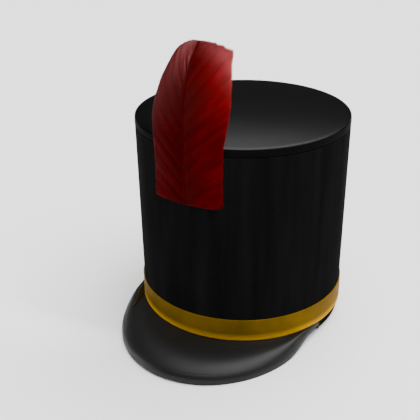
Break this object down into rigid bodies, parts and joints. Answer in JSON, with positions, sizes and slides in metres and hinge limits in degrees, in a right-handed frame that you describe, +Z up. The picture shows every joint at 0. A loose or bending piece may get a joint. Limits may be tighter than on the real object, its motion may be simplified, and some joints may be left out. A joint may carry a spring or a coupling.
{
  "type": "shako hat with feather plume",
  "caption": "Tall round black shako with a flat crown, gold braid band, short black peak and a broad red feather plume at the front.",
  "frame": {"origin": "bottom centre of the whole hat's box, on the surface that it rests on", "axes": "+Z up, -Y towards the front of the hat, where the peak and the plume are, +X to the wearer's left"},
  "size_m": [0.1968, 0.2532, 0.2826],
  "materials": {
    "black_felt": "satin",
    "black_leather": "satin",
    "patent_leather": "gloss",
    "gold_braid": "satin",
    "red_feather": "satin",
    "steel": "satin"
  },
  "bodies": {
    "root": {"body": "black_felt", "crown_top": "black_leather", "gold_braid": "gold_braid", "peak": "patent_leather", "braid_end": "gold_braid", "tack": "gold_braid", "plume": "red_feather", "plume_pin": "steel"}
  },
  "joints": []
}
